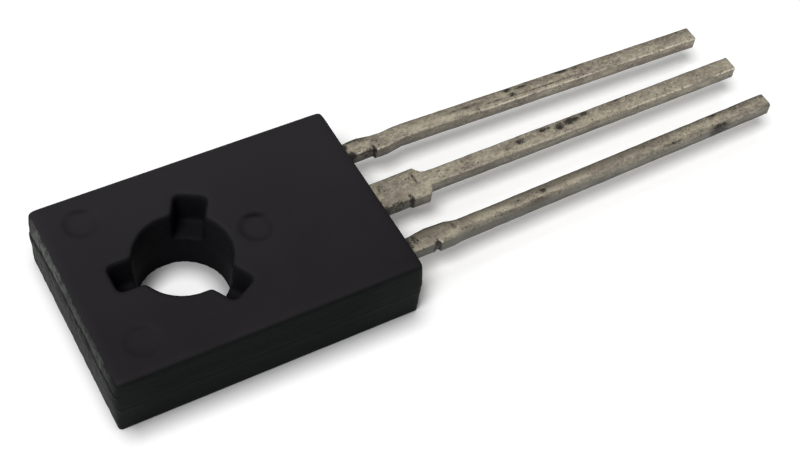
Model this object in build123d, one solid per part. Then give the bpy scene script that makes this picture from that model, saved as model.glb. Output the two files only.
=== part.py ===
"""Three-lead power transistor in a flat moulded package with one mounting hole.

Millimetres, Z up. The origin is on the mounting hole's axis, in the plane of the metal back.
X runs along the leads towards their tips, and the marked face looks up.
"""

from build123d import *
import math
import os

# Moulded body
body_length = 10.87
body_width = 7.6
body_height = 2.57
parting_height = 1.27
top_draft = 4.0
bottom_draft = 2.2
mould_mismatch = 0.02
corner_radius = 0.15
top_edge_radius = 0.1

# Mounting hole, with three keys left by the posts that hold the plate down in the mould
hole_from_head = 3.92
hole_radius = 1.55
hole_draft = 1.3
key_count = 3
key_width = 0.98
key_reach = 2.36
key_first_angle = 60.0
key_corner = 0.14
key_mouth_radius = 0.22
key_skin = 0.05
hole_edge_radius = 0.12

# Round marks left by the ejector pins, and the scar where the gate broke off
ejector_radius = 0.56
ejector_depth = 0.035
ejector_behind_hole = 2.45
ejector_from_centreline = 2.5
ejector_before_hole = 2.6
gate_width = 0.62
gate_height = 0.17
gate_depth = 0.09
gate_offset = -1.45

# Heat-spreading plate, thick part of the collector strip
plate_head_margin = 0.77
plate_width = 5.9
plate_corner = 0.5
hole_lining = 0.42
lock_step = 0.35
lock_height = 0.55

# Leads: thin strip, with stubs where the dam bar was cut away
lead_pitch = 2.29
lead_width = 0.66
lead_thickness = 0.50
collector_root_width = 1.22
stub_start = 1.2
far_stub_start = 0.8
stub_end = 1.9
neck_taper = 0.32
neck_radius = 0.2
lead_edge_radius = 0.05
emitter_lead_length = 15.6
collector_lead_length = 15.5
base_lead_length = 15.03
emitter_lean = 1.35
collector_lean = 0.45
base_lean = -1.2

# How far each stub stands out on the near and far side. A cut that went too deep is negative.
emitter_stub_near = 0.07
emitter_stub_far = 0.11
collector_stub_near = 0.07
collector_stub_far = 0.03
base_stub_near = 0.13
base_stub_far = -0.1

# Inside ends of the leads
post_neck = 0.75
post_length = 1.25
post_width = 1.75
post_corner = 0.2
post_clearance = 0.4
joggle_run = 0.65
joggle_radius = 0.35
joggle_start = 0.2

# Die, solder and bond wires
die_margin = 0.39
die_thickness = 0.22
solder_thickness = 0.04
solder_margin = 0.11
wire_radius = 0.075
wire_bend = 0.28
wire_loop = 0.36
wire_rise_share = 0.22
wire_fall_share = 0.72
foot_length = 0.36
foot_width = 0.26
foot_height = 0.09
die_pad_share = 0.235
post_pad_offset = 0.25

# Places that follow from the sizes above
head_end = -hole_from_head
lead_end = body_length - hole_from_head
body_centre = (head_end + lead_end) / 2
plate_top = parting_height
lead_bottom = parting_height
lead_top = lead_bottom + lead_thickness
post_middle = lead_end - post_neck - post_length / 2
plate_start = head_end + plate_head_margin
plate_end = post_middle - post_length / 2 - post_clearance
plate_length = plate_end - plate_start
plate_centre = (plate_start + plate_end) / 2
plate_opening = hole_radius + hole_lining
die_centre = (plate_opening + plate_end) / 2
die_size = plate_end - plate_opening - 2 * die_margin
die_pad_offset = die_pad_share * die_size
solder_top = plate_top + solder_thickness
die_top = solder_top + die_thickness


def mould_half(length, width, depth, draft, upward):
    """One half of the body: a rounded block that tapers away from the parting plane."""
    outline = RectangleRounded(length, width, corner_radius)
    face = Pos(body_centre, 0, parting_height) * outline
    return extrude(face, amount=depth, taper=draft, dir=(0, 0, upward))


def body_blank():
    """Both halves. The upper one stands a little proud where they meet."""
    upper = mould_half(body_length, body_width, body_height - parting_height, top_draft, 1)
    rim = upper.faces().sort_by(Axis.Z)[-1].edges()
    upper = fillet(rim, top_edge_radius)
    smaller = 2 * mould_mismatch
    lower = mould_half(body_length - smaller, body_width - smaller, parting_height, bottom_draft, -1)
    return upper + lower


def keyed_outline():
    """Plan of the hole above the plate: a circle with rounded keys round it."""
    outline = Rot(0, 0, key_first_angle) * Circle(hole_radius)
    key = Pos(key_reach / 2, 0) * Rectangle(key_reach, key_width)
    for index in range(key_count):
        outline += Rot(0, 0, key_first_angle + index * 360 / key_count) * key
    between = (hole_radius + key_reach) / 2
    ends = outline.vertices().filter_by(lambda corner: Vector(corner).length > between)
    outline = fillet(ends, key_corner)
    mouths = outline.vertices().filter_by(lambda corner: Vector(corner).length < between)
    return fillet(mouths, key_mouth_radius)


def hole_and_keys():
    """The hole: straight in the lower ring, then keyed and opening slightly towards the top.

    The keys stop a thin skin of plastic above the plate.
    """
    floor = plate_top + key_skin
    lower = Cylinder(hole_radius, floor, align=(Align.CENTER, Align.CENTER, Align.MIN))
    upper = extrude(Pos(0, 0, floor) * keyed_outline(), amount=body_height - floor, taper=-hole_draft)
    return lower + upper


def ejector_marks():
    """Three shallow round recesses in the marked face."""
    pin = Cylinder(ejector_radius, 2 * ejector_depth)
    spots = [
        (-ejector_behind_hole, ejector_from_centreline),
        (-ejector_behind_hole, -ejector_from_centreline),
        (ejector_before_hole, 0),
    ]
    return [Pos(x, y, body_height) * pin for x, y in spots]


def gate_scar():
    """A small broken patch in the head end, just above the parting plane."""
    patch = Box(2 * gate_depth, gate_width, gate_height, align=(Align.CENTER, Align.CENTER, Align.MIN))
    return Pos(head_end, gate_offset, parting_height) * patch


def spreader_plate():
    """The thick plate. Its foot is stepped in so that the plastic holds it down."""
    shoulder = RectangleRounded(plate_length, plate_width, plate_corner)
    foot_corner = plate_corner - lock_step / 2
    foot = RectangleRounded(plate_length - 2 * lock_step, plate_width - 2 * lock_step, foot_corner)
    plate = extrude(Pos(plate_centre, 0, 0) * foot, amount=plate_top)
    plate += extrude(Pos(plate_centre, 0, lock_height) * shoulder, amount=plate_top - lock_height)
    opening = Cylinder(plate_opening, 3 * plate_top)
    return plate - opening


def lead_outline(root_width, length, lean, near, far):
    """Plan of one lead outside the body, from the body's end, leaning sideways past its stubs."""
    slope = math.tan(math.radians(lean))
    root = root_width / 2
    half = lead_width / 2
    neck_end = stub_end + neck_taper
    tip_shift = slope * (length - neck_end)
    near_side = [
        (0, -root),
        (stub_start, -root),
        (stub_start, -root - near),
        (stub_end, -root - near),
        (neck_end, -half),
    ]
    far_side = [
        (neck_end, half),
        (stub_end, root + far),
        (far_stub_start, root + far),
        (far_stub_start, root),
        (0, root),
    ]
    tip = [(length, tip_shift - half), (length, tip_shift + half)]
    corners = near_side + tip + far_side
    radii = [neck_radius if corner[0] == neck_end else 0 for corner in corners]
    return make_face(FilletPolyline(*corners, radius=radii, close=True))


def lead_blade(root_width, length, lean, row, near, far):
    """The part of a lead that stands out of the body, its top edges rolled by the punch."""
    face = Pos(lead_end, row, lead_bottom) * lead_outline(root_width, length, lean, near, far)
    blade = extrude(face, amount=lead_thickness)
    start = lead_end + stub_end + neck_taper
    long_edges = blade.edges().filter_by(lambda edge: edge.center().X > start)
    top_edges = long_edges.filter_by(lambda edge: edge.center().Z > lead_top - lead_edge_radius)
    return fillet(top_edges, lead_edge_radius)


def outer_lead(length, lean, row, near, far):
    """An emitter or base lead: a wide post inside the body, a neck and the blade."""
    outline = RectangleRounded(post_length, post_width, post_corner)
    post = extrude(Pos(post_middle, row, lead_bottom) * outline, amount=lead_thickness)
    neck_length = lead_end - post_middle
    neck = Box(neck_length, lead_width, lead_thickness, align=(Align.MIN, Align.CENTER, Align.MIN))
    neck = Pos(post_middle, row, lead_bottom) * neck
    return post + neck + lead_blade(lead_width, length, lean, row, near, far)


def collector_frame():
    """The plate and the middle lead in one piece, the strip joggled up to the leads' height."""
    middle = lead_thickness / 2
    low = plate_top - middle
    high = lead_bottom + middle
    rise_start = plate_end + joggle_start
    path = FilletPolyline(
        (plate_end - lock_step, 0, low),
        (rise_start, 0, low),
        (rise_start + joggle_run, 0, high),
        (lead_end, 0, high),
        radius=joggle_radius,
    )
    section = Plane(origin=path @ 0, x_dir=(0, 1, 0), z_dir=path % 0)
    strip = sweep(section * Rectangle(collector_root_width, lead_thickness), path)
    width = collector_root_width
    length = collector_lead_length
    blade = lead_blade(width, length, collector_lean, 0, collector_stub_near, collector_stub_far)
    return spreader_plate() + strip + blade


def die_and_solder():
    """The silicon die on its solder, centred on the plate beyond the hole."""
    spread = die_size + 2 * solder_margin
    low = (Align.CENTER, Align.CENTER, Align.MIN)
    solder = Pos(die_centre, 0, plate_top) * Box(spread, spread, solder_thickness, align=low)
    die = Pos(die_centre, 0, solder_top) * Box(die_size, die_size, die_thickness, align=low)
    return die, solder


def bond_wire(side):
    """A wire looped from the die to a post, with a flattened foot at each end."""
    start = Vector(die_centre + die_pad_offset, side * die_pad_offset, die_top + foot_height / 2)
    inward = lead_pitch - post_pad_offset
    end = Vector(post_middle, side * inward, lead_top + foot_height / 2)
    flat = Vector(end.X - start.X, end.Y - start.Y, 0)
    loop_top = lead_top + wire_loop
    rise = start + flat * wire_rise_share
    fall = start + flat * wire_fall_share
    path = FilletPolyline(
        start,
        Vector(rise.X, rise.Y, loop_top),
        Vector(fall.X, fall.Y, loop_top),
        end,
        radius=wire_bend,
    )
    wire = sweep(Plane(origin=path @ 0, z_dir=path % 0) * Circle(wire_radius), path)
    heading = math.degrees(math.atan2(flat.Y, flat.X))
    foot = Box(foot_length, foot_width, foot_height)
    for place in (start, end):
        wire += Pos(place) * Rot(0, 0, heading) * foot
    return wire


def moulded_body(inserts):
    """The black body, cast round everything that it holds."""
    body = body_blank() - hole_and_keys()
    top_edges = body.faces().sort_by(Axis.Z)[-1].inner_wires()[0].edges()
    body = fillet(top_edges, hole_edge_radius) - ejector_marks() - gate_scar()
    for insert in inserts:
        body -= insert
    return body


def build():
    """Make every piece and write each one to its own file."""
    die, solder = die_and_solder()
    emitter = outer_lead(emitter_lead_length, emitter_lean, -lead_pitch, emitter_stub_near, emitter_stub_far)
    base = outer_lead(base_lead_length, base_lean, lead_pitch, base_stub_near, base_stub_far)
    parts = {
        "collector_frame": collector_frame(),
        "emitter_lead": emitter,
        "base_lead": base,
        "die_attach_solder": solder,
        "transistor_die": die,
        "emitter_bond_wire": bond_wire(-1),
        "base_bond_wire": bond_wire(1),
    }
    parts["moulded_body"] = moulded_body(list(parts.values()))
    os.makedirs("parts", exist_ok=True)
    for name, solid in parts.items():
        export_step(solid, f"parts/{name}.step")


build()
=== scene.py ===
"""Looks of a flat moulded power transistor that lies on its metal back.

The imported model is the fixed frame. The leads and the collector strip are made again here with
rolled edges, small waves and stains. The moulded case gets soft edges and wear, and every piece its
own material. Lengths in the properties are metres. Shapes are in mm and scaled at the end.
"""

import math

import bmesh
import bpy
import numpy as np
from bpy.props import FloatProperty, FloatVectorProperty, PointerProperty
from mathutils import Matrix, Vector


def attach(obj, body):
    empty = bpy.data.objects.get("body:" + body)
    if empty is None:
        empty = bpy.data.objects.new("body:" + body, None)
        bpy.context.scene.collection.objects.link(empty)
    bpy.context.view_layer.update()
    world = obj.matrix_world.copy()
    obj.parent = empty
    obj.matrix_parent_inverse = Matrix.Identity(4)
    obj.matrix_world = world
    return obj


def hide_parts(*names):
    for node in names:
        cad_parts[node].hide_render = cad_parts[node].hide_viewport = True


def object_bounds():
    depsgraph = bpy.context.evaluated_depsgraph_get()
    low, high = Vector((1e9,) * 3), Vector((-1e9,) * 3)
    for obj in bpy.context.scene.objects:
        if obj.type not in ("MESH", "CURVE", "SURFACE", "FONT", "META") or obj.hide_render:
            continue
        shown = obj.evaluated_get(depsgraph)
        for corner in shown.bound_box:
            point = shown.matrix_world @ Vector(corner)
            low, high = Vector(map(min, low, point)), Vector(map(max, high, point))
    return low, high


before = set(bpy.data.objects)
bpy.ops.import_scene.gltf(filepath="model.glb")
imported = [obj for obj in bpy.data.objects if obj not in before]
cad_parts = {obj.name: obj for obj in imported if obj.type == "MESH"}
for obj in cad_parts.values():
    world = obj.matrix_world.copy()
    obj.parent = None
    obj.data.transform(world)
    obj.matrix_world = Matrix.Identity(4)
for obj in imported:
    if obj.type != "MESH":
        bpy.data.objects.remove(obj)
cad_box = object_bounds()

bl_info = {
    "name": "Flat Power Transistor",
    "version": (1, 0, 0),
    "blender": (4, 5, 0),
    "location": "3D View > Sidebar > Transistor",
    "description": "Dresses the packed model of a flat moulded power transistor",
    "category": "Object",
}

MM = 0.001
ROOT = "root"

# The moulded case, in mm: the squares that cover it, the plane where the leads leave it, how far
# the hole's keys reach from its middle, and the height of the parting line.
CASE_GRID = 0.065
CASE_END = 6.95
KEY_REACH = 2.93
PARTING_HEIGHT = 1.3

# The ejector marks on top, in mm: place along, place across, depth, and the painted shade in
# their far rim.
EJECTOR_MARKS = [(-2.45, 2.5, 0.035, 0.6), (-2.45, -2.5, 0.025, 0.3), (2.6, 0.0, 0.028, 1.0)]
MARK_RADIUS = 0.56

# The leads, in mm: where the stubs end and the lean starts, and the radius of the lower edges.
STUB_END = 2.22
BURR = 0.03

# Each lead outside the body, in mm from the body's end face: its row, its lean in degrees, its
# length, the radius of its rolled upper edges and its seed. Then shares, the pairs as (at the body,
# at the tip): how dull the flanks are, with painted shade, how worn the near edge is, with its
# painted highlight, how much painted shade lies on the far part of the face, and how much darker
# the near part is. Last are its two outlines as (distance, half width).
LEADS = {
    "base_lead": {
        "row": 2.29, "lean": -1.2, "length": 15.03, "roll": 0.07, "seed": 3,
        "flank_and_shade": (0.56, 0.12), "wear_and_highlight": (0.75, 0.85), "far_side": 0.85, "near_side": 0.0,
        "near": [(0, 0.33), (1.16, 0.33), (1.19, 0.44), (1.7, 0.44), (2.3, 0.335)],
        "far": [(0, 0.29), (0.5, 0.35), (0.8, 0.36), (0.95, 0.33), (1.3, 0.275), (1.65, 0.26),
                (2.1, 0.31), (2.6, 0.33)],
    },
    "collector_lead": {
        "row": 0.0, "lean": 0.45, "length": 15.5, "roll": 0.07, "seed": 5,
        "flank_and_shade": (0.7, 0.34), "wear_and_highlight": (0.1, 0.9), "far_side": 0.5, "near_side": 0.15,
        "near": [(0, 0.61), (1.26, 0.605), (1.3, 0.675), (1.98, 0.68), (2.07, 0.6), (2.22, 0.34)],
        "far": [(0, 0.6), (0.8, 0.615), (1.65, 0.625), (1.9, 0.64), (2.01, 0.5), (2.11, 0.385),
                (2.29, 0.33)],
    },
    "emitter_lead": {
        "row": -2.29, "lean": 1.35, "length": 15.6, "roll": 0.11, "seed": 8,
        "flank_and_shade": (0.98, 0.7), "wear_and_highlight": (0.05, 0.3), "far_side": 1.2, "near_side": 0.75,
        "near": [(0, 0.33), (1.08, 0.33), (1.15, 0.265), (1.22, 0.3), (1.26, 0.39), (1.8, 0.385),
                 (2.15, 0.33)],
        "far": [(0, 0.34), (0.35, 0.38), (0.7, 0.43), (1.0, 0.455), (1.3, 0.45), (1.75, 0.435),
                (1.95, 0.38), (2.2, 0.33)],
    },
}

# Dark marks on the leads: stains, and painted shade in the notches and at the roots beside the
# body. Each is distance from the body, place across (+1 far edge, -1 near edge), length, width
# across, strength.
MARKS = {
    "base_lead": [
        (0.9, 0.5, 0.3, 0.3, 0.6), (1.3, -0.1, 0.4, 0.4, 0.5), (5.0, 0.1, 2.2, 0.3, 0.5),
        (6.1, -0.3, 1.2, 0.2, 0.6), (7.0, -0.2, 0.5, 0.35, 0.8), (6.9, 0.6, 0.35, 0.3, 0.9),
        (7.45, 0.45, 0.6, 0.2, 0.7), (9.25, 0.75, 0.5, 0.25, 1.0), (9.85, 0.6, 0.3, 0.25, 0.6),
        (0.2, 0.35, 0.2, 0.4, 1.0), (0.3, -0.95, 0.35, 0.4, 1.0), (10.3, -0.2, 0.25, 0.2, 0.6),
        (0.9, -1.0, 0.6, 0.25, 0.6), (1.17, -1.0, 0.12, 0.5, 1.0), (8.4, -0.45, 3.2, 0.12, 0.7),
        (0.7, 0.9, 1.3, 0.35, 0.7),
    ],
    "collector_lead": [
        (7.75, 0.15, 0.45, 0.45, 1.0), (8.25, 0.35, 0.7, 0.45, 1.0), (8.85, 0.6, 0.35, 0.3, 0.9),
        (7.15, 0.5, 0.5, 0.3, 0.8), (10.35, 0.85, 0.45, 0.22, 1.0), (6.05, 0.1, 0.5, 0.4, 0.7),
        (1.75, 0.25, 0.1, 0.35, 0.9), (0.5, 0.3, 0.5, 0.6, 0.5), (0.9, -0.5, 0.5, 0.3, 0.45),
        (0.05, 0.0, 0.1, 1.1, 0.9), (14.35, 0.7, 0.4, 0.2, 0.4), (5.45, -0.2, 0.4, 0.3, 0.6),
        (1.27, -1.0, 0.16, 0.4, 1.0), (0.3, -1.0, 0.5, 0.2, 0.6), (0.75, -0.95, 0.9, 0.14, 0.6),
    ],
    "emitter_lead": [
        (13.2, 0.75, 0.45, 0.3, 0.8), (13.2, -0.95, 0.9, 0.25, 0.9), (0.45, 0.3, 0.3, 0.5, 0.8),
        (0.22, 0.2, 0.2, 0.7, 0.9), (1.1, -0.9, 0.22, 0.35, 1.0), (5.55, 0.1, 0.35, 0.35, 0.8),
        (4.55, 0.0, 0.4, 0.3, 0.7), (5.2, -0.7, 1.0, 0.3, 0.5), (11.1, -0.7, 0.9, 0.25, 0.6),
        (8.0, -0.3, 1.4, 0.35, 0.35), (9.5, 0.9, 4.0, 0.3, 0.5), (14.1, 0.7, 0.6, 0.2, 0.5),
        (1.95, 0.2, 0.15, 0.5, 0.6), (4.0, -0.75, 1.0, 0.25, 0.5), (1.16, -0.95, 0.16, 0.6, 1.0),
        (0.75, 0.1, 1.8, 1.3, 0.4), (1.2, 0.95, 1.6, 0.25, 0.7), (2.3, -0.5, 1.2, 0.3, 0.45),
        (6.0, 0.4, 12.0, 0.9, 0.36),
    ],
}

LEAD_ATTRIBUTES = ("wear_and_highlight", "flank_and_shade", "stain", "far_edge_shade", "far")

# Fixed colours of wear, dirt, painted light and painted shade on the case and the leads.
# Painted light on the far side of the case's top.
TOP_FAR_PAINTED_LIGHT = (0.0272, 0.0252, 0.0286)
# Painted light on the sides towards their ends and edges.
SIDE_PAINTED_SHEEN = (0.0092, 0.0096, 0.0096)
# The head end: plain, and worn patches mixed with painted light.
HEAD_PLAIN = (0.007, 0.0078, 0.0075)
HEAD_WORN_AND_LIT = (0.1, 0.105, 0.098)
MOULDING_SPECK = (0.035, 0.034, 0.034)
# Painted shade in grooves and mark rims, and the dark of the gate scar.
DARK_SCAR_AND_SHADE = (0.0015, 0.0015, 0.002)
# Painted shade over the hole, darker low down and lighter towards its mouth.
HOLE_SHADE_LOW = (0.0058, 0.0056, 0.007)
HOLE_SHADE_HIGH = (0.0086, 0.0085, 0.0105)
TIN_WARM = (0.3, 0.235, 0.2)
TIN_BLOTCH = (0.2, 0.17, 0.13)
# Painted shade over the far part of a lead's face.
TIN_FAR_SHADE = (0.16, 0.14, 0.103)
# The sheared flanks' dull tone, with painted shade.
TIN_FLANK_AND_SHADE = (0.09, 0.087, 0.072)
# Painted shade along the far rolled edge of a lead.
TIN_FAR_EDGE_SHADE = (0.055, 0.05, 0.036)
# The worn near edge of a lead, mixed with a painted highlight.
TIN_WORN_AND_HIGHLIGHT = (0.86, 0.8, 0.64)

# The lamps, in metres: the point that they are aimed at, the distance and the directions of the two
# overhead, the place of the low one beside the head end, and their widths.
LIT = (5 * MM, 0, 1 * MM)
LAMP_DISTANCE = 1.5
KEY_DIRECTION, KEY_WIDTH = (-0.45, -0.26, 1), 0.6
REAR_DIRECTION, REAR_WIDTH = (0, 0.25, 1), 0.35
SIDE_PLACE, SIDE_WIDTH = (-0.3, -0.03, 0.09), 0.2

# Settings that like properties share.
LENGTH = {"unit": "LENGTH", "precision": 5}
COLOUR = {"subtype": "COLOR", "size": 3, "min": 0.0, "max": 1.0}


class TransistorSizes(bpy.types.PropertyGroup):
    """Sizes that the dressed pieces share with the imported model."""

    body_end: FloatProperty(
        name="Body End", description="Where the leads leave the body, along X",
        default=6.95 * MM, **LENGTH)
    lead_width: FloatProperty(
        name="Lead Width", description="Width of a lead past its stubs",
        default=0.66 * MM, **LENGTH)
    lead_thickness: FloatProperty(
        name="Lead Thickness", description="Thickness of the lead strip",
        default=0.5 * MM, **LENGTH)
    lead_bottom: FloatProperty(
        name="Lead Height", description="Height of the leads' undersides above the metal back",
        default=1.27 * MM, **LENGTH)
    wave: FloatProperty(
        name="Lead Wave", description="How far the punched edges of the leads wander",
        default=0.011 * MM, min=0.0, unit="LENGTH", precision=6)
    station_step: FloatProperty(
        name="Lead Detail", description="Distance between the sections of a lead",
        default=0.05 * MM, min=0.02 * MM, **LENGTH)


class TransistorLooks(bpy.types.PropertyGroup):
    """Colours and wear of the finishes."""

    moulding_colour: FloatVectorProperty(
        name="Moulding Compound", description="Colour of the black moulding compound",
        **COLOUR, default=(0.0148, 0.0133, 0.0149))
    # The sides' own greener tone, also painted darker than the top as shade.
    moulding_green_shaded: FloatVectorProperty(
        name="Moulding Sides", description="Slightly greener colour of the steep sides",
        **COLOUR, default=(0.0023, 0.0042, 0.0036))
    tin_colour: FloatVectorProperty(
        name="Tin", description="Colour of the dull tin plate",
        **COLOUR, default=(0.6, 0.545, 0.41))
    tarnish_colour: FloatVectorProperty(
        name="Tarnish", description="Purplish colour of the tarnished patches",
        **COLOUR, default=(0.29, 0.245, 0.2))
    stain_and_shade_colour: FloatVectorProperty(
        name="Stain", description="Colour of the dark marks",
        **COLOUR, default=(0.024, 0.02, 0.014))


class StageSettings(bpy.types.PropertyGroup):
    """Camera, lamps and floor."""

    azimuth: FloatProperty(
        name="Azimuth", description="Direction of the camera about the vertical",
        default=math.radians(-35.772), subtype="ANGLE")
    elevation: FloatProperty(
        name="Elevation", description="Angle of the camera above the floor",
        default=math.radians(51.785), subtype="ANGLE")
    roll: FloatProperty(
        name="Roll", description="Turn of the camera about its own axis",
        default=math.radians(8.5505), subtype="ANGLE")
    distance: FloatProperty(
        name="Distance", description="Distance of the camera from its target",
        default=52.933 * MM, **LENGTH)
    target: FloatVectorProperty(
        name="Target", description="The point that the camera looks at",
        subtype="TRANSLATION", size=3, default=(8.0121 * MM, -0.4194 * MM, 0.0))
    lens: FloatProperty(
        name="Lens", description="Focal length on a 36 mm wide sensor, in mm",
        default=67.929, min=1.0)
    floor_size: FloatProperty(
        name="Floor Size", description="Width of the pale floor",
        default=3.0, unit="LENGTH")
    fill_level: FloatProperty(
        name="Fill Level", description="Light from all around, as the level of a white surface",
        default=0.21, min=0.0)
    key_level: FloatProperty(
        name="Key Level", description="Light of the overhead lamp on a level surface",
        default=0.68, min=0.0)
    rear_level: FloatProperty(
        name="Rear Level", description="Light of the lamp behind the object on a level surface",
        default=0.07, min=0.0)
    side_level: FloatProperty(
        name="Side Level", description="Light of the low lamp at the head end on a facing surface",
        default=0.22, min=0.0)


def smooth_noise(count, spacing, seed):
    """A wandering line: random heights every few samples, joined by a cosine ease."""
    source = np.random.default_rng(seed).uniform(-1, 1, int(count / spacing) + 3)
    place = np.arange(count) / spacing
    left = place.astype(int)
    share = 0.5 - 0.5 * np.cos(math.pi * (place - left))
    return source[left] * (1 - share) + source[left + 1] * share


def section_ring(roll, burr):
    """One closed section of a punched strip, as columns of shares.

    Each point is (share across, corner radius, cosine, sine, level): its place across is the share
    of the way from the near to the far corner centre, plus radius times cosine. Level is -1 on the
    underside, 1 on top and between on the flanks. The roll radius is on top, the burr's below.
    """
    quarter_top = np.linspace(0, math.pi / 2, 8)
    quarter_low = np.linspace(0, math.pi / 2, 3)
    rows = []
    rows += [(s, burr, 0, -1, -1) for s in np.linspace(0, 1, 6)]
    rows += [(1, burr, math.sin(a), -math.cos(a), -1) for a in quarter_low[1:]]
    rows += [(1, roll * s + burr * (1 - s), 1, 0, 2 * s - 1) for s in (0.25, 0.5, 0.75)]
    rows += [(1, roll, math.cos(a), math.sin(a), 1) for a in quarter_top]
    rows += [(s, roll, 0, 1, 1) for s in np.linspace(1, 0, 11)[1:-1]]
    rows += [(0, roll, -math.sin(a), math.cos(a), 1) for a in quarter_top]
    rows += [(0, roll * s + burr * (1 - s), -1, 0, 2 * s - 1) for s in (0.75, 0.5, 0.25)]
    rows += [(0, burr, -math.cos(a), -math.sin(a), -1) for a in quarter_low[:-1]]
    return np.array(rows, float)


def carried_strip(path, normal, centre_y, near, far, half_thick, roll):
    """A section carried along a path in the XZ plane, as a grid of points (stations by ring).

    Point = path + across in Y + height along the path's normal. Across runs from minus the near to
    plus the far half width. Height is the corner centre's height plus radius times sine, and on the
    flanks it goes straight from the lower to the upper corner centre.
    """
    ring = section_ring(roll, BURR)
    share, radius, cosine, sine, level = ring.T
    across = -(1 - share) * (near[:, None] - radius) + share * (far[:, None] - radius)
    across += radius * cosine
    low, high = -(half_thick - BURR), half_thick - roll
    on_flank = low + (high - low) * (level + 1) / 2
    height = np.where(np.abs(level) < 1, on_flank, level * (half_thick - radius) + radius * sine)
    points = np.empty((len(path), len(ring), 3))
    points[:, :, 0] = path[:, None, 0] + height * normal[:, None, 0]
    points[:, :, 1] = centre_y[:, None] + across
    points[:, :, 2] = path[:, None, 1] + height * normal[:, None, 1]
    return points, ring


def wrapped_quads(rows, columns):
    """Quads of a grid whose last column joins its first, as an array of corner numbers."""
    first = np.arange(columns)
    second = (first + 1) % columns
    step = np.arange(rows - 1)[:, None] * columns
    quads = [step + first, step + second, step + columns + second, step + columns + first]
    return np.stack(quads, -1).reshape(-1, 4)


def signed_volume(points, quads):
    """Six times the volume inside closed quads. It is negative where the faces point inwards."""
    a, b, c, d = (points[quads[:, i]] for i in range(4))
    return np.einsum("ij,ij->", a, np.cross(b, c)) + np.einsum("ij,ij->", a, np.cross(c, d))


def new_object(name, data):
    """An object with that data, in the scene."""
    made = bpy.data.objects.new(name, data)
    bpy.context.scene.collection.objects.link(made)
    return made


def mesh_piece(name, shells, materials):
    """A mesh object from closed shells.

    Each shell is (points in mm, quads, caps, attributes, material number).
    """
    corners, polygons, slots, count = [], [], [], 0
    values = {key: [] for key in LEAD_ATTRIBUTES}
    for points, quads, caps, attributes, slot in shells:
        if signed_volume(points, quads) < 0:
            quads = quads[:, ::-1]
            caps = [cap[::-1] for cap in caps]
        corners.append(points)
        polygons += (quads + count).tolist() + [[int(i) + count for i in cap] for cap in caps]
        slots += [slot] * (len(quads) + len(caps))
        for key, parts in values.items():
            parts.append(attributes.get(key, np.zeros(len(points))))
        count += len(points)
    mesh = bpy.data.meshes.new(name)
    mesh.from_pydata((np.concatenate(corners) * MM).tolist(), [], polygons)
    for key, parts in values.items():
        layer = mesh.attributes.new(key, "FLOAT", "POINT")
        layer.data.foreach_set("value", np.concatenate(parts).astype(np.float32))
    mesh.polygons.foreach_set("use_smooth", [len(p) == 4 for p in polygons])
    for material in materials:
        mesh.materials.append(material)
    mesh.polygons.foreach_set("material_index", slots)
    mesh.update()
    return new_object(name, mesh)


def marks_on(key, distance, across):
    """Strength of the dark marks: the largest of some soft ellipses, one for each mark."""
    strength = np.zeros(distance.shape)
    for place, side, length, width, amount in MARKS[key]:
        reach = ((distance - place) / (0.5 * length)) ** 2 + ((across - side) / width) ** 2
        strength = np.maximum(strength, amount * np.exp(-0.7 * reach))
    return strength


def half_widths(lead, along, inside, sizes):
    """The near and the far half widths of a lead at its stations.

    Outside the body they follow the outlines and then ease to the strip's own half width, less a
    wandering line: slow noise plus half as much quick noise. Inside they follow the inside part.
    """
    end, half, wave = sizes.body_end / MM, sizes.lead_width / MM / 2, sizes.wave / MM
    outside = along >= 0
    widths = []
    for side, seed in (("near", 0), ("far", 1)):
        distances, outline = np.array(lead[side]).T
        width = np.interp(along, distances, outline, right=half)
        past = np.clip((along - distances[-1]) / 0.3, 0, 1)
        width = width * (1 - past) + half * past
        wander = smooth_noise(len(along), 9, lead["seed"] + seed)
        wander += 0.5 * smooth_noise(len(along), 3, lead["seed"] + seed + 20)
        width = width - wave * (0.9 + 0.6 * wander) * outside
        widths.append(np.where(outside, width, inside["width"](along + end)))
    return widths


def lead_attributes(key, distance, across, ring):
    """The attributes that place wear and stains on a lead, one value for each point.

    They hold the worn near edge, with a painted highlight, and the bright line beside the body,
    also partly painted highlight; painted shade along the far edge; the sheared flanks, with
    painted shade deepening downwards, and the darker near part of the face; painted shade over the
    far part of the face; and the marks, stains and painted shade in the notches and at the roots.
    """
    lead = LEADS[key]
    cosine, sine, level = ring.T[2:]
    share = np.clip(distance / lead["length"], 0, 1)
    on_face = (level == 1) & (sine > 0)
    rolled = (level == 1) & (sine > 0.15) & (sine < 0.97)
    # The worn near edge, also a painted highlight, and the bright line beside the body.
    wear_and_highlight = (rolled & (cosine < 0)) * (lead["wear_and_highlight"][0] * (1 - share) + lead["wear_and_highlight"][1] * share)
    flash = (distance > 0.02) & (distance < 0.09) & on_face & (across < 0.75)
    steep = (np.abs(cosine) > 0.8) | ((level < 0) & (np.abs(cosine) > 0.2))
    flank_and_shade = lead["flank_and_shade"][0] * (1 - share) + lead["flank_and_shade"][1] * share
    # The flanks' dull sheared finish, with painted shade deepening towards their lower edges.
    flank_and_shade = steep * np.minimum(flank_and_shade + 0.45 * np.clip(-level, 0, 1), 1)
    near_part = np.clip((-across - 0.5) / 0.35, 0, 1) * on_face * (distance > 1.3)
    values = {
        "wear_and_highlight": np.maximum(wear_and_highlight, 0.8 * flash),
        # Painted shade along the far rolled edge.
        "far_edge_shade": np.broadcast_to((rolled & (cosine > 0)) * 1.0, across.shape),
        "flank_and_shade": np.maximum(flank_and_shade, lead["near_side"] * near_part),
        # Painted shade over the far part of the face.
        "far": lead["far_side"] * np.clip(across + 0.15, 0, 1.15) * on_face,
        "stain": marks_on(key, distance, across) * np.where(level > -1, 1.0, 0.55),
    }
    return {name: value.ravel() for name, value in values.items()}


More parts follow.
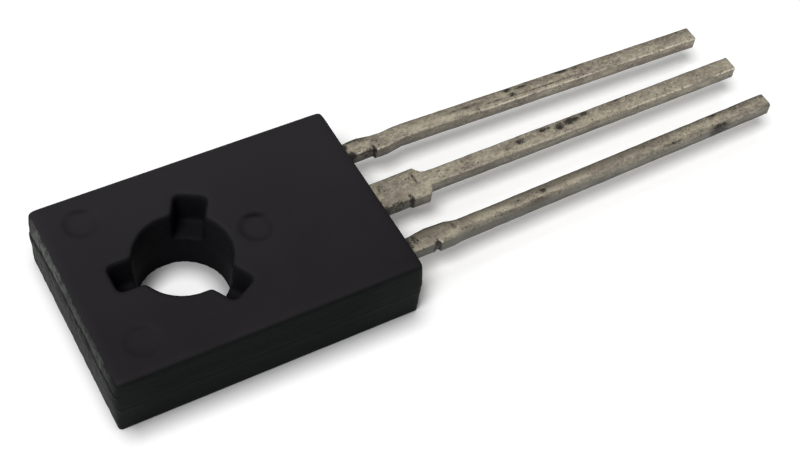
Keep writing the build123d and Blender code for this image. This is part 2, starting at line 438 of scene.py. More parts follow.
def lead_shell(key, sizes, inside):
    """One lead as a closed shell.

    Past the stubs the centre line leans: Y = row + tangent of the lean times the distance. The top
    is shaved by a wandering hair, and the square tip is drawn in by a hair.
    """
    lead = LEADS[key]
    end = sizes.body_end / MM
    thick = sizes.lead_thickness / MM / 2
    middle = sizes.lead_bottom / MM + thick
    corners = [x for x, _ in lead["near"] + lead["far"]] + [x - end for x in inside["stations"]]
    along = np.arange(inside["start"] - end, lead["length"], sizes.station_step / MM)
    along = np.unique(np.round(np.concatenate([along, corners, [lead["length"]]]), 4))
    outside = along >= 0
    near, far = half_widths(lead, along, inside, sizes)
    lean = math.tan(math.radians(lead["lean"]))
    centre = lead["row"] + lean * np.maximum(0, along - STUB_END)
    height, slope = inside["height"](along + end, middle)
    path = np.stack([along + end, height], 1)
    normal = np.stack([-slope, np.ones_like(slope)], 1) / np.hypot(slope, 1)[:, None]
    points, ring = carried_strip(path, normal, centre, near, far, thick, lead["roll"])
    sine, level = ring.T[3:]
    dish = 0.004 * smooth_noise(len(along), 30, lead["seed"] + 7) * outside
    shave = np.abs(dish)[:, None] + 0.003
    points[:, :, 2] -= np.where((level == 1) & (sine > 0.3), shave, 0.0) * outside[:, None]
    tip = np.clip((along - lead["length"] + 0.05) / 0.05, 0, 1) ** 2 * 0.03
    local = points[:, :, 1] - centre[:, None]
    points[:, :, 1] = centre[:, None] + local * (1 - tip[:, None])
    across = local / np.maximum(near, far)[:, None]
    rows, columns = across.shape
    distance = np.broadcast_to(along[:, None], across.shape)
    quads = wrapped_quads(rows, columns)
    caps = [list(range(columns))[::-1], list(range((rows - 1) * columns, rows * columns))]
    return points.reshape(-1, 3), quads, caps, lead_attributes(key, distance, across, ring), 0


def post_inside(sizes):
    """The inside end of an outer lead: a post with rounded corners and a straight neck."""
    start, end, half, corner = 4.95, 6.2, 0.875, 0.2
    neck = sizes.lead_width / MM / 2

    def width(x):
        depth = np.clip(corner + np.maximum(start - x, x - end), 0, corner)
        round_part = half - corner + np.sqrt(np.maximum(corner ** 2 - depth ** 2, 0))
        return np.where(x < end, np.maximum(round_part, neck), neck)

    def height(x, middle):
        return np.full_like(x, middle), np.zeros_like(x)

    rounding = corner * (1 - np.cos(np.linspace(0, math.pi / 2, 6)))
    stations = [*(start + rounding), *(end - rounding), end - 0.001, end + 0.001]
    return {"start": start, "width": width, "height": height, "stations": stations}


def joggle_inside(sizes):
    """The inside end of the middle lead: straight from the plate's top edge, then up an S curve.

    Along the rise, height = share squared times (3 minus twice the share), times the thickness.
    """
    start, rise, run, half = 4.2, 4.62, 0.9, 0.61
    thick = sizes.lead_thickness / MM

    def width(x):
        return np.full_like(x, half)

    def height(x, middle):
        share = np.clip((x - rise) / run, 0, 1)
        level = middle - thick * (1 - share * share * (3 - 2 * share))
        slope = thick * 6 * share * (1 - share) / run
        return level, slope

    return {"start": start, "width": width, "height": height, "stations": []}


def plate_shell():
    """The thick plate: a closed ring of profiles round the hole.

    The profile goes from the hole's lining out along the underside, up the foot, over the step to
    the shoulder and back along the top. Foot and shoulder are rounded rectangles.
    """
    centre_x, length, width, corner, step = 0.7, 7.7, 5.9, 0.5, 0.35
    lining, top, lock, soft = 1.97, 1.27, 0.55, 0.03
    spokes = 720

    def outline(inset, corner_radius):
        """A closed rounded rectangle, its points spread evenly along its edge."""
        half_x, half_y = length / 2 - inset, width / 2 - inset
        arc = np.linspace(0, math.pi / 2, 13)
        corners = [(1, 1, 0), (-1, 1, 1), (-1, -1, 2), (1, -1, 3)]
        parts = [np.stack([
            sx * (half_x - corner_radius) + corner_radius * np.cos(arc + turn * math.pi / 2),
            sy * (half_y - corner_radius) + corner_radius * np.sin(arc + turn * math.pi / 2)], 1)
            for sx, sy, turn in corners]
        loop = np.concatenate(parts + [parts[0][:1]])
        reach = np.concatenate([[0], np.cumsum(np.hypot(*np.diff(loop, axis=0).T))])
        wanted = np.linspace(0, reach[-1], spokes + 1)[:-1]
        return np.stack([np.interp(wanted, reach, loop[:, i]) for i in (0, 1)], 1) + [centre_x, 0]

    def hole(radius, guide):
        """Points on the hole's circle, each towards its guide point."""
        turn = np.arctan2(guide[:, 1], guide[:, 0])
        return np.stack([radius * np.cos(turn), radius * np.sin(turn)], 1)

    foot, foot_in = (outline(step + by, corner - step / 2) for by in (0, soft))
    shoulder, shoulder_in = (outline(by, corner) for by in (0, soft))
    levels = [
        (hole(lining, foot), soft), (hole(lining + soft, foot), 0.0),
        (foot_in, 0.0), (foot, soft), (foot, lock),
        (shoulder, lock), (shoulder, top - soft), (shoulder_in, top),
        (hole(lining + soft, foot), top), (hole(lining, foot), top - soft),
    ]
    points = np.stack([np.column_stack([xy, np.full(len(xy), z)]) for xy, z in levels])
    columns = points.shape[1]
    quads = wrapped_quads(len(levels), columns)
    low = np.arange(columns)
    high = low + (len(levels) - 1) * columns
    closing = np.stack([high, np.roll(high, -1), np.roll(low, -1), low], 1)
    quads = np.concatenate([quads, closing])
    edge = np.array([1, 1, 1, 1, 0, 0, 1, 1, 1, 1], float)
    attributes = {"wear_and_highlight": np.repeat(edge * 0.4, columns)}
    return points.reshape(-1, 3), quads, [], attributes, 1


class Nodes:
    """Short calls that add nodes to one material or world and join them."""

    def __init__(self, owner):
        owner.use_nodes = True
        self.owner = owner
        self.tree = owner.node_tree
        self.tree.nodes.clear()

    def fill(self, socket, value):
        """Joins the socket to another socket, or sets its value."""
        if isinstance(value, bpy.types.NodeSocket):
            self.tree.links.new(value, socket)
        else:
            socket.default_value = value

    def add(self, kind, inputs=None, **settings):
        """A node of that kind, with its settings and its filled sockets."""
        made = self.tree.nodes.new(kind)
        for name, value in settings.items():
            setattr(made, name, value)
        for name, value in (inputs or {}).items():
            self.fill(made.inputs[name], value)
        return made

    def place(self, scale=(1, 1, 1)):
        """Object coordinates in millimetres, stretched by the scale."""
        coordinates = self.add("ShaderNodeTexCoord").outputs["Object"]
        inputs = {"Vector": coordinates, "Scale": [s / MM for s in scale]}
        return self.add("ShaderNodeMapping", inputs).outputs["Vector"]

    def noise(self, scale, detail=3.0, roughness=0.5, stretch=(1, 1, 1)):
        inputs = {"Vector": self.place(stretch), "Scale": scale, "Detail": detail,
                  "Roughness": roughness}
        return self.add("ShaderNodeTexNoise", inputs).outputs["Fac"]

    def spread(self, value, low, high, to_low=0.0, to_high=1.0):
        """The value's range from low to high, stretched to another range and kept within it."""
        inputs = {"Value": value, "From Min": low, "From Max": high,
                  "To Min": to_low, "To Max": to_high}
        return self.add("ShaderNodeMapRange", inputs, clamp=True).outputs["Result"]

    def calc(self, operation, a, b=0.0):
        """One math operation on two values or sockets."""
        made = self.add("ShaderNodeMath", operation=operation)
        for socket, value in zip(made.inputs, (a, b)):
            self.fill(socket, value)
        return made.outputs[0]

    def product(self, *values):
        """All the values multiplied with each other, from left to right."""
        total = values[0]
        for value in values[1:]:
            total = self.calc("MULTIPLY", total, value)
        return total

    def away(self, value, middle):
        """How far the value is from the middle, either way."""
        return self.calc("ABSOLUTE", self.calc("SUBTRACT", value, middle))

    def blend(self, share, *colours):
        """A colour between the first and the second."""
        made = self.add("ShaderNodeMix", data_type="RGBA")
        sockets = {socket.name: socket for socket in made.inputs if socket.enabled}
        self.fill(sockets["Factor"], share)
        for name, value in zip("AB", colours):
            fixed = not isinstance(value, bpy.types.NodeSocket)
            self.fill(sockets[name], (*value[:3], 1.0) if fixed else value)
        return [socket for socket in made.outputs if socket.enabled][0]

    def attribute(self, name):
        return self.add("ShaderNodeAttribute", attribute_name=name).outputs["Fac"]

    def axis(self, vector, name):
        return self.add("ShaderNodeSeparateXYZ", {"Vector": vector}).outputs[name]

    def bump(self, height, distance, strength=1.0):
        inputs = {"Height": height, "Distance": distance, "Strength": strength}
        return self.add("ShaderNodeBump", inputs).outputs["Normal"]

    def finish(self, kind, shader):
        """Joins a shader to the output, and gives back the material or world."""
        self.add(kind, {"Surface": shader})
        return self.owner

    def surface(self, **inputs):
        """The finished material, a principled shader with those inputs."""
        named = {key.replace("_", " "): value for key, value in inputs.items()}
        shader = self.add("ShaderNodeBsdfPrincipled", named).outputs["BSDF"]
        return self.finish("ShaderNodeOutputMaterial", shader)


def moulding_material(looks):
    """Black epoxy: fine eroded grain on top, greener in thin layers on the drafted sides.

    Painted light makes the top paler towards its far side and the sides paler towards their ends
    and edges, and painted shade keeps the sides darker than the top. Attributes place the worn
    patches on the head end with painted light on its upper band, painted shade in the seam, the
    parting line and the far rims of the ejector marks beside the dark gate scar, and painted shade
    in the hole.
    """
    n = Nodes(bpy.data.materials.new("black_epoxy"))
    place = n.place()
    along, across, height = (n.axis(place, name) for name in "XYZ")
    dark, hole_shade, scuffed_and_lit = (n.attribute(key) for key in ("dark", "hole_shade", "scuffed_and_lit"))
    normal = n.add("ShaderNodeNewGeometry").outputs["Normal"]
    top = n.spread(n.axis(normal, "Z"), 0.5, 0.9)
    head = n.spread(n.axis(normal, "X"), -0.5, -0.9)
    cloud = n.noise(0.35)
    grain = n.noise(26.0, 2.0, 0.6)
    speck = n.noise(9.0, 3.0, 0.7)
    patch = n.noise(3.4, 5.0, 0.75)
    layers = n.noise(1.6, 4.0, 0.6, (0.6, 0.6, 5.0))
    top_colour = n.blend(n.spread(cloud, 0.35, 0.65), looks.moulding_colour,
                         [c * 1.18 for c in looks.moulding_colour])
    # Painted light: the top grows paler towards its far side.
    top_colour = n.blend(n.spread(across, -3.2, 3.2, 0.0, 0.6), top_colour, TOP_FAR_PAINTED_LIGHT)
    # The sides: their own greener tone, painted darker than the top as shade.
    side_colour = n.blend(n.spread(layers, 0.35, 0.7), looks.moulding_green_shaded,
                          [c * 1.8 for c in looks.moulding_green_shaded])
    # Painted light: the sides grow paler towards their ends and their top and bottom edges.
    to_end = n.spread(n.away(along, 1.0), 3.2, 4.6, 0.0, 0.8)
    to_edge = n.spread(n.away(height, 1.25), 0.6, 1.1, 0.0, 0.5)
    side_colour = n.blend(n.calc("MAXIMUM", to_end, to_edge), side_colour, SIDE_PAINTED_SHEEN)
    # The head end's worn patches, with painted light brightening its upper band.
    worn_and_lit = n.product(n.spread(patch, 0.4, 0.62, 0.12, 1.0), scuffed_and_lit)
    head_colour = n.blend(worn_and_lit, HEAD_PLAIN, HEAD_WORN_AND_LIT)
    colour = n.blend(top, n.blend(head, side_colour, head_colour), top_colour)
    colour = n.blend(n.spread(speck, 0.62, 0.8, 0.0, 0.35), colour, MOULDING_SPECK)
    # Painted shade in the seam, the parting line and the marks' far rims, and the dark gate scar.
    colour = n.blend(dark, colour, DARK_SCAR_AND_SHADE)
    # Painted shade over the hole and its keys, darker towards the bottom, and over its rounded
    # mouth.
    hole_shade_colour = n.blend(n.spread(height, 0.3, 2.2), HOLE_SHADE_LOW, HOLE_SHADE_HIGH)
    colour = n.blend(hole_shade, colour, hole_shade_colour)
    mixed = n.calc("ADD", n.product(grain, 0.5), n.product(layers, 0.5))
    relief = n.calc("ADD", n.product(grain, 0.6), speck)
    relief = n.calc("ADD", relief, n.product(layers, n.calc("SUBTRACT", 1.4, top)))
    shine = n.product(n.spread(top, 0.0, 1.0, 0.038, 0.06), n.spread(hole_shade, 0.0, 1.0, 1.0, 0.5))
    return n.surface(Base_Color=colour, Roughness=n.spread(mixed, 0.3, 0.7, 0.5, 0.72),
                     Specular_IOR_Level=shine, Normal=n.bump(relief, 0.012 * MM, 0.7))


def tin_material(looks):
    """Dull tin plate: mottled, specked and stained, and brighter where it is rubbed.

    Attributes place the dull flanks with painted shade deepening downwards, painted shade on the
    far part of the face and along the far edge, the worn near edge with a painted highlight, and
    the dark marks, which are stains and painted shade in the notches and at the roots.
    """
    n = Nodes(bpy.data.materials.new("dull_tin"))
    mottle = n.noise(1.7, 4.0, 0.6, (0.4, 1.0, 1.0))
    patch = n.noise(0.8, 3.0, 0.55)
    blotch = n.noise(3.4, 3.0, 0.6, (0.6, 1, 1))
    fine = n.noise(11.0, 4.0, 0.75, (0.7, 1, 1))
    speck = n.noise(14.0, 2.0, 0.6)
    pit = n.noise(5.5, 3.0, 0.72)
    wear_and_highlight, flank_and_shade, stain, far_edge_shade, far = (n.attribute(key) for key in LEAD_ATTRIBUTES)
    rubbed = [c * 1.25 for c in looks.tin_colour]
    dulled = [c * 0.5 for c in looks.tarnish_colour]
    colour = n.blend(n.spread(mottle, 0.36, 0.62), looks.tarnish_colour, looks.tin_colour)
    colour = n.blend(n.spread(patch, 0.48, 0.64, 0.0, 0.5), colour, TIN_WARM)
    colour = n.blend(n.spread(blotch, 0.52, 0.62, 0.0, 0.45), colour, TIN_BLOTCH)
    # Painted shade over the far part of the face.
    colour = n.blend(far, colour, TIN_FAR_SHADE)
    colour = n.blend(n.spread(fine, 0.5, 0.66, 0.0, 0.5), colour, rubbed)
    colour = n.blend(n.spread(fine, 0.47, 0.36, 0.0, 0.5), colour, dulled)
    # The flanks: dull sheared finish, with painted shade.
    colour = n.blend(flank_and_shade, colour, TIN_FLANK_AND_SHADE)
    # Painted shade along the far rolled edge.
    colour = n.blend(far_edge_shade, colour, TIN_FAR_EDGE_SHADE)
    worn_and_lit = n.spread(n.noise(0.45, 2.0), 0.36, 0.5)
    # The worn near edge with its painted highlight.
    colour = n.blend(n.product(wear_and_highlight, worn_and_lit, n.spread(fine, 0.4, 0.48)), colour, TIN_WORN_AND_HIGHLIGHT)
    clusters = n.spread(n.noise(1.3), 0.45, 0.62)
    specks = n.product(n.spread(speck, 0.56, 0.66), clusters)
    spots = n.calc("MAXIMUM", n.spread(pit, 0.62, 0.72, 0.0, 0.75), n.product(specks, 0.8))
    colour = n.blend(spots, colour, looks.stain_and_shade_colour)
    # The marks: stains, and painted shade in the notches and at the roots.
    dark = n.spread(n.product(stain, n.spread(fine, 0.38, 0.62, 0.4, 1.3)), 0.22, 0.58)
    colour = n.blend(dark, colour, looks.stain_and_shade_colour)
    rough = n.calc("MAXIMUM", n.spread(mottle, 0.3, 0.7, 0.62, 0.42), n.product(dark, 0.7))
    height = n.calc("ADD", fine, n.product(mottle, 1.5))
    height = n.calc("SUBTRACT", height, n.product(spots, 1.2))
    return n.surface(Base_Color=colour, Metallic=n.spread(dark, 0, 1, 0.4, 0.1), Roughness=rough,
                     Normal=n.bump(height, 0.014 * MM, 0.8))


def plate_material(looks):
    """The bare back of the plate: tinned copper with fine scratches across it and faint stains."""
    n = Nodes(bpy.data.materials.new("bare_back"))
    stain = n.noise(0.5, 5.0, 0.6)
    scratch = n.noise(3.0, 4.0, 0.7, (0.15, 6.0, 1.0))
    swirl = n.noise(3.0, 5.0, 0.65)
    colour = n.blend(n.spread(stain, 0.38, 0.66), looks.tin_colour, (0.47, 0.43, 0.36))
    colour = n.blend(n.spread(swirl, 0.55, 0.75, 0.0, 0.5), colour, (0.27, 0.22, 0.16))
    colour = n.blend(n.spread(scratch, 0.6, 0.75, 0.0, 0.5), colour, (0.66, 0.63, 0.57))
    mixed = n.calc("ADD", n.product(scratch, 0.5), n.product(stain, 0.5))
    height = n.calc("ADD", scratch, n.product(swirl, 0.6))
    return n.surface(Base_Color=colour, Metallic=0.9,
                     Roughness=n.spread(mixed, 0.3, 0.7, 0.3, 0.52),
                     Normal=n.bump(height, 0.008 * MM, 0.6))


def silicon_material():
    """The die: grey silicon with a fine comb of bright metal fingers on top."""
    n = Nodes(bpy.data.materials.new("etched_silicon"))
    wave = n.add("ShaderNodeTexWave", {"Vector": n.place(), "Scale": 2.2},
                 wave_type="BANDS", bands_direction="Y", wave_profile="SIN").outputs["Fac"]
    cloud = n.noise(4.0)
    up = n.spread(n.axis(n.add("ShaderNodeNewGeometry").outputs["Normal"], "Z"), 0.6, 0.9)
    finger = n.product(n.spread(wave, 0.45, 0.55), up)
    silicon = n.blend(n.spread(cloud, 0.3, 0.7), (0.05, 0.055, 0.065), (0.085, 0.09, 0.1))
    colour = n.blend(finger, silicon, (0.72, 0.73, 0.74))
    return n.surface(Base_Color=colour, Metallic=n.spread(finger, 0, 1, 0.35, 1.0),
                     Roughness=n.spread(cloud, 0.3, 0.7, 0.16, 0.3),
                     Normal=n.bump(finger, 0.002 * MM, 0.6))


def solder_material():
    """Soft solder: dull grey with a frosted, slightly lumpy skin."""
    n = Nodes(bpy.data.materials.new("soft_solder"))
    lump = n.noise(3.0, 4.0, 0.6)
    frost = n.noise(24.0, 3.0, 0.7)
    colour = n.blend(n.spread(lump, 0.35, 0.65), (0.42, 0.42, 0.43), (0.6, 0.6, 0.59))
    return n.surface(Base_Color=colour, Metallic=0.9,
                     Roughness=n.spread(frost, 0.3, 0.7, 0.35, 0.6),
                     Normal=n.bump(n.calc("ADD", lump, frost), 0.01 * MM, 0.5))


def wire_material():
    """Drawn aluminium wire: bright, with faint lengthwise drawing lines."""
    n = Nodes(bpy.data.materials.new("drawn_aluminium"))
    line = n.noise(8.0, 3.0, 0.6, (0.5, 5.0, 5.0))
    haze = n.noise(5.0)
    colour = n.blend(n.spread(haze, 0.35, 0.65), (0.72, 0.72, 0.73), (0.84, 0.84, 0.85))
    return n.surface(Base_Color=colour, Metallic=1.0,
                     Roughness=n.spread(line, 0.3, 0.7, 0.22, 0.42),
                     Normal=n.bump(line, 0.003 * MM, 0.5))


def floor_material():
    """A pale matt floor with a soft contact shade.

    Seen directly or in a reflection it is brighter and glows faintly, so it reads white. It is
    darker where the object close by hides the sky from it, but not beyond the head end.
    """
    n = Nodes(bpy.data.materials.new("pale_floor"))
    path = n.add("ShaderNodeLightPath")
    seen = n.calc("MAXIMUM", path.outputs["Is Camera Ray"], path.outputs["Is Glossy Ray"])
    seen = n.calc("MAXIMUM", seen, path.outputs["Is Transmission Ray"])
    open_sky = n.add(
        "ShaderNodeAmbientOcclusion", {"Distance": 0.85 * MM}, samples=16).outputs["AO"]
    past_head = n.spread(n.axis(n.place(), "X"), -4.3, -3.3)
    shade = n.product(n.spread(open_sky, 1.0, 0.5, 0.0, 0.64), past_head)
    lit = n.calc("SUBTRACT", 1.0, shade)
    pale = n.blend(seen, (0.8, 0.8, 0.8), (0.96, 0.96, 0.96))
    matt = n.add("ShaderNodeBsdfDiffuse", {"Color": n.blend(lit, (0, 0, 0), pale)})
    glow = n.add("ShaderNodeEmission", {"Strength": n.product(seen, 0.12, lit)})
    both = n.add("ShaderNodeAddShader", {0: matt.outputs["BSDF"], 1: glow.outputs["Emission"]})
    return n.finish("ShaderNodeOutputMaterial", both.outputs["Shader"])


def dress(node, material):
    """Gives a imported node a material."""
    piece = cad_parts[node]
    piece.data.materials.clear()
    piece.data.materials.append(material)


def value_noise(points, spacing, seed):
    """Smooth noise in space: random values on a lattice, with a cosine ease between them."""
    grid = np.random.default_rng(seed).uniform(-1, 1, (32, 32, 32))
    place = points / spacing + 100.0
    low = np.floor(place).astype(int)
    ease = 0.5 - 0.5 * np.cos(math.pi * (place - low))
    total = np.zeros(len(points))
    for corner in np.ndindex(2, 2, 2):
        index = (low + corner) % 32
        share = np.where(corner, ease, 1 - ease).prod(axis=1)
        total += share * grid[index[:, 0], index[:, 1], index[:, 2]]
    return total


def read_array(items, key, width, kind=float):
    """One property of all items, as an array of rows."""
    values = np.empty(len(items) * width, kind)
    items.foreach_get(key, values)
    return values.reshape(-1, width)


def relax(points, edges, weight, rounds):
    """Rounds the edges: each point moves by its weight towards the mean of its neighbours."""
    ends = np.concatenate([edges, edges[:, ::-1]])
    count = np.bincount(ends[:, 0], minlength=len(points))[:, None]
    for _ in range(rounds):
        total = np.stack([
            np.bincount(ends[:, 0], points[ends[:, 1], axis], len(points)) for axis in range(3)], 1)
        points = points + weight[:, None] * (total / count - points)
    return points


def bell(value, centre, width):
    """A bell curve round a centre."""
    return np.exp(-((value - centre) / width) ** 2)


def covered_case(name):
    """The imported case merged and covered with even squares, as a new mesh."""
    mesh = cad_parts["moulded_body"].data.copy()
    work = bmesh.new()
    work.from_mesh(mesh)
    bmesh.ops.remove_doubles(work, verts=work.verts, dist=0.0005 * MM)
    work.to_mesh(mesh)
    work.free()
    rough = new_object("rough_case", mesh)
    cover = rough.modifiers.new("cover", "REMESH")
    cover.mode = "VOXEL"
    cover.voxel_size = CASE_GRID * MM
    bpy.context.view_layer.update()
    depsgraph = bpy.context.evaluated_depsgraph_get()
    made = bpy.data.meshes.new_from_object(rough.evaluated_get(depsgraph))
    bpy.data.objects.remove(rough)
    bpy.data.meshes.remove(mesh)
    made.name = name
    return made


def case_wear(points, normal, outside, in_hole, top):
    """How far each point of the case moves along its normal, and the attributes that colour it.

    Shift = thin layers of noise on the steep sides + lumps on the head end - bell curves along the
    wandering seam, the gate's scar and the parting line - a disc with a soft rim for each ejector
    mark. Dark is painted shade along the seam, the parting line and the marks' far rims, and the
    gate's dark scar. The hole mask paints shade over the hole with its keys, and the head mask
    holds the worn head end with painted light on its upper band.
    """
    x, y, z = points.T
    steep = np.clip(1.6 - 2.2 * np.abs(normal[:, 2]), 0, 1) * outside
    at_head = np.clip(-2 * normal[:, 0] - 0.4, 0, 1) * outside
    layers = value_noise(points * [0.35, 0.35, 1.6], 0.16, 11)
    lumps = 0.7 * value_noise(points, 0.24, 12) + 0.9 * value_noise(points, 0.12, 13)
    level = points * [1, 1, 0]
    wander = 0.09 * value_noise(level, 0.6, 14) + 0.05 * value_noise(level, 0.22, 15)
    line = 1.93 - 0.13 * np.clip(y - 1.2, 0, 3) + wander
    broken = np.clip(1.1 - 0.5 * value_noise(points, 0.5, 16), 0, 1)
    # The seam is a groove, and it is also painted dark as shade.
    seam = at_head * bell(z, line, 0.075) * broken
    scar = at_head * bell(y, -1.5, 0.3) * bell(z, 1.8, 0.24)
    parting = steep * (1 - at_head) * bell(z, PARTING_HEIGHT + 0.3 * wander, 0.05)
    shift = 0.004 * layers * steep + 0.011 * lumps * at_head
    shift -= 0.035 * seam + 0.04 * scar + 0.012 * parting

    # Painted shade along the parting line, and below that in the far rims of the ejector marks.
    rim_and_line_shade = 0.3 * parting
    on_top = (normal[:, 2] > 0.8) * (z > top - 0.1)
    on_mark = np.zeros(len(points), bool)
    for mark_x, mark_y, depth, amount in EJECTOR_MARKS:
        away = np.hypot(x - mark_x, y - mark_y)
        shift -= depth * (0.5 - 0.5 * np.tanh((away - MARK_RADIUS) / 0.045)) * on_top
        towards_far = (0.25 * (x - mark_x) + 0.97 * (y - mark_y)) / MARK_RADIUS
        far_rim = np.maximum(np.clip(3 * towards_far - 1.8, 0, 1), 0.22)
        rim_and_line_shade = np.maximum(rim_and_line_shade, amount * on_top * far_rim * bell(away, MARK_RADIUS - 0.07, 0.11))
        on_mark |= away < MARK_RADIUS + 0.14

    # The mask of painted shade over the hole, its keys and its rounded mouth.
    below_top = np.clip((top - 0.03 - z) / 0.06, 0, 1)
    tilted = np.clip((0.97 - normal[:, 2]) / 0.1, 0, 1)
    # The head mask: worn patches with painted light, strongest above the seam line, fading at the
    # corners and weaker high on the near half.
    scuffed_and_lit = at_head * np.clip((y + 3.5) / 1.0, 0, 1) * np.clip((3.5 - y) / 0.5, 0, 1)
    scuffed_and_lit *= 0.3 + 0.7 * np.clip((z - line) / 0.1 + 0.5, 0, 1)
    scuffed_and_lit *= 1 - 0.5 * np.clip((z - 1.75) / 0.2, 0, 1) * np.clip((0.8 - y) / 0.8, 0, 1)
    attributes = {
        "dark": np.maximum(np.maximum(seam, scar), rim_and_line_shade),
        "hole_shade": np.maximum(below_top, tilted) * in_hole * (z > 0.01) * ~on_mark,
        "scuffed_and_lit": scuffed_and_lit,
    }
    return shift, attributes


def soft_case(name):
    """A worn copy of the moulded case.

    Its edges are relaxed, most on the outside and less round the hole. Each point then moves along
    its normal by the wear, and stays in the case's box.
    """
    made = covered_case(name)
    points = read_array(made.vertices, "co", 3) / MM
    edges = read_array(made.edges, "vertices", 2, int)
    head, side, top = cad_box[0][0] / MM, cad_box[1][1] / MM, cad_box[1][2] / MM
    x, y, z = points.T
    outside = np.minimum.reduce([x - head, CASE_END - x, side - np.abs(y)]) < 0.35
    reach = np.hypot(x, y)
    outside |= (z > top - 0.27) & (reach > 2.7)
    inside_weight = np.where(z > 0.2, 0.12, 0.04)
    weight = np.where(outside, 0.08 + 0.42 * np.clip(z / 0.9, 0, 1), inside_weight)
    points = relax(points, edges, weight, 24)
    made.vertices.foreach_set("co", (points * MM).ravel())
    made.update()
    normal = read_array(made.vertices, "normal", 3)
    shift, attributes = case_wear(points, normal, outside, reach < KEY_REACH, top)
    points = np.clip(points + shift[:, None] * normal, [head, -side, 0], [CASE_END, side, top])
    made.vertices.foreach_set("co", (points * MM).ravel())
    for key, values in attributes.items():
        layer = made.attributes.new(key, "FLOAT", "POINT")
        layer.data.foreach_set("value", values.astype(np.float32))
    made.polygons.foreach_set("use_smooth", np.ones(len(made.polygons), bool))
    made.update()
    return new_object(name, made)


class TRANSISTOR_OT_case(bpy.types.Operator):
    """Give the moulded case its soft edges and black compound"""

    bl_idname = "transistor.case"
    bl_label = "Moulded Case"

    def execute(self, context):
        looks = context.scene.transistor_looks
        case = soft_case("moulded_case_worn")
        case.data.materials.clear()
        case.data.materials.append(moulding_material(looks))
        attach(case, ROOT)
        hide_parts("moulded_body")
        return {"FINISHED"}


class TRANSISTOR_OT_outer_leads(bpy.types.Operator):
    """Make the emitter and base leads as punched, tinned strips with worn edges"""

    bl_idname = "transistor.outer_leads"
    bl_label = "Outer Leads"

    def execute(self, context):
        sizes = context.scene.transistor_sizes
        tin = bpy.data.materials.get("dull_tin") or tin_material(context.scene.transistor_looks)
        for key in ("emitter_lead", "base_lead"):
            shell = lead_shell(key, sizes, post_inside(sizes))
            piece = mesh_piece(f"{key}_tinned", [shell], [tin])
            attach(piece, ROOT)
            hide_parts(key)
        return {"FINISHED"}


class TRANSISTOR_OT_collector_strip(bpy.types.Operator):
    """Make the thick plate and the joggled middle lead as one strip"""

    bl_idname = "transistor.collector_strip"
    bl_label = "Collector Strip"

    def execute(self, context):
        sizes = context.scene.transistor_sizes
        looks = context.scene.transistor_looks
        tin = bpy.data.materials.get("dull_tin") or tin_material(looks)
        shells = [lead_shell("collector_lead", sizes, joggle_inside(sizes)), plate_shell()]
        piece = mesh_piece("collector_strip_tinned", shells, [tin, plate_material(looks)])
        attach(piece, ROOT)
        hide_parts("collector_frame")
        return {"FINISHED"}


class TRANSISTOR_OT_die_and_wires(bpy.types.Operator):
    """Give the die, its solder and the bond wires their metals"""

    bl_idname = "transistor.die_and_wires"
    bl_label = "Die and Wires"

    def execute(self, context):
        dress("transistor_die", silicon_material())
        dress("die_attach_solder", solder_material())
        wire = wire_material()
        for node in ("emitter_bond_wire", "base_bond_wire"):
            dress(node, wire)
        return {"FINISHED"}


def add_lamp(name, place, width, level):
    """A round lamp that gives a facing surface at the lit point that level of light."""
    reach = Vector(LIT) - Vector(place)
    data = bpy.data.lights.new(name, "AREA")
    data.shape = "DISK"
    data.size = width
    data.energy = level * math.pi ** 2 * reach.length_squared
    turn = reach.to_track_quat("-Z", "Y").to_matrix().to_4x4()
    new_object(name, data).matrix_world = Matrix.Translation(place) @ turn


def add_overhead_lamp(name, direction, width, level):
    """A lamp in that direction that gives a level surface that level of light."""
    away = Vector(direction).normalized()
    add_lamp(name, Vector(LIT) + away * LAMP_DISTANCE, width, level / away.z)


def add_floor(stage):
    """The pale floor, a hair under the object."""
    half = stage.floor_size / 2
    mesh = bpy.data.meshes.new("pale_floor")
    signs = [(-1, -1), (1, -1), (1, 1), (-1, 1)]
    mesh.from_pydata([(sx * half, sy * half, -0.002 * MM) for sx, sy in signs], [], [(0, 1, 2, 3)])
    mesh.materials.append(floor_material())
    floor = new_object("pale_floor", mesh)


def light_world(stage):
    """Soft light from all around. Seen directly, the surroundings are white."""
    scene = bpy.context.scene
    world = scene.world or bpy.data.worlds.new("soft_room")
    scene.world = world
    n = Nodes(world)
    path = n.add("ShaderNodeLightPath")
    seen = n.calc("MAXIMUM", path.outputs["Is Camera Ray"], path.outputs["Is Transmission Ray"])
    level = n.add("ShaderNodeMapRange", {
        "Value": seen, "To Min": stage.fill_level, "To Max": 1.0}).outputs["Result"]
    sky = n.add("ShaderNodeBackground", {"Color": (1, 1, 1, 1), "Strength": level})
    n.finish("ShaderNodeOutputWorld", sky.outputs["Background"])


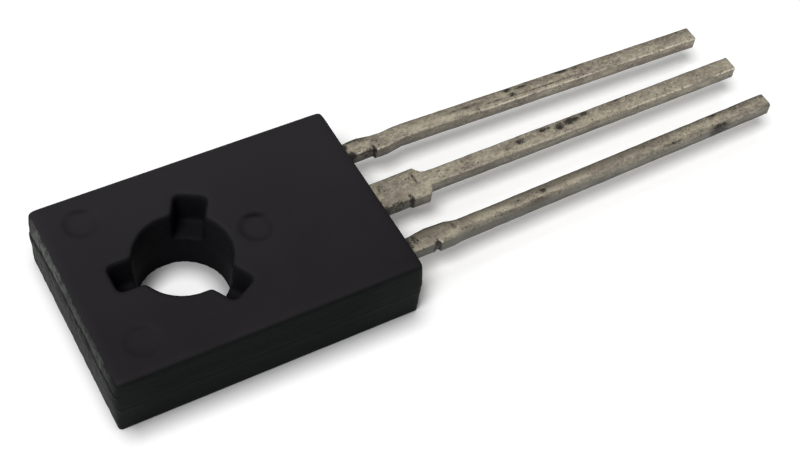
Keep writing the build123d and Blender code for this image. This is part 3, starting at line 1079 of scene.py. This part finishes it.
def add_camera(stage):
    """The camera, at its distance back from the target, turned about its own axis by its roll."""
    turn = (
        Matrix.Rotation(stage.azimuth, 4, "Z")
        @ Matrix.Rotation(math.pi / 2 - stage.elevation, 4, "X")
        @ Matrix.Rotation(stage.roll, 4, "Z"))
    data = bpy.data.cameras.new("camera")
    data.sensor_width = 36.0
    data.lens = stage.lens
    data.clip_start = 1 * MM
    data.clip_end = 10.0
    camera = new_object("camera", data)
    back = Matrix.Translation((0, 0, stage.distance))
    camera.matrix_world = Matrix.Translation(stage.target) @ turn @ back
    bpy.context.scene.camera = camera


class TRANSISTOR_OT_stage(bpy.types.Operator):
    """Set the pale floor, the soft lamps and the camera"""

    bl_idname = "transistor.stage"
    bl_label = "Stage"

    def execute(self, context):
        stage = context.scene.transistor_stage
        add_floor(stage)
        add_overhead_lamp("key_lamp", KEY_DIRECTION, KEY_WIDTH, stage.key_level)
        add_overhead_lamp("rear_lamp", REAR_DIRECTION, REAR_WIDTH, stage.rear_level)
        add_lamp("side_lamp", SIDE_PLACE, SIDE_WIDTH, stage.side_level)
        light_world(stage)
        add_camera(stage)
        context.scene.view_settings.view_transform = "Standard"
        return {"FINISHED"}


class VIEW3D_PT_transistor(bpy.types.Panel):
    """Lists the transistor's operators and settings"""

    bl_label = "Power Transistor"
    bl_idname = "VIEW3D_PT_transistor"
    bl_space_type = "VIEW_3D"
    bl_region_type = "UI"
    bl_category = "Transistor"

    def draw(self, context):
        for made in OPERATORS:
            self.layout.operator(made.bl_idname)
        for key in SETTINGS:
            group = getattr(context.scene, key)
            box = self.layout.box()
            for name in group.__annotations__:
                box.prop(group, name)


OPERATORS = (
    TRANSISTOR_OT_case,
    TRANSISTOR_OT_outer_leads,
    TRANSISTOR_OT_collector_strip,
    TRANSISTOR_OT_die_and_wires,
    TRANSISTOR_OT_stage,
)
SETTINGS = {
    "transistor_sizes": TransistorSizes,
    "transistor_looks": TransistorLooks,
    "transistor_stage": StageSettings,
}
CLASSES = (*SETTINGS.values(), *OPERATORS, VIEW3D_PT_transistor)


def register():
    for made in CLASSES:
        bpy.utils.register_class(made)
    for key, group in SETTINGS.items():
        setattr(bpy.types.Scene, key, PointerProperty(type=group))


def unregister():
    for key in SETTINGS:
        delattr(bpy.types.Scene, key)
    for made in reversed(CLASSES):
        bpy.utils.unregister_class(made)


def main():
    register()
    bpy.ops.transistor.case()
    bpy.ops.transistor.outer_leads()
    bpy.ops.transistor.collector_strip()
    bpy.ops.transistor.die_and_wires()
    bpy.ops.transistor.stage()


if __name__ == "__main__":
    main()
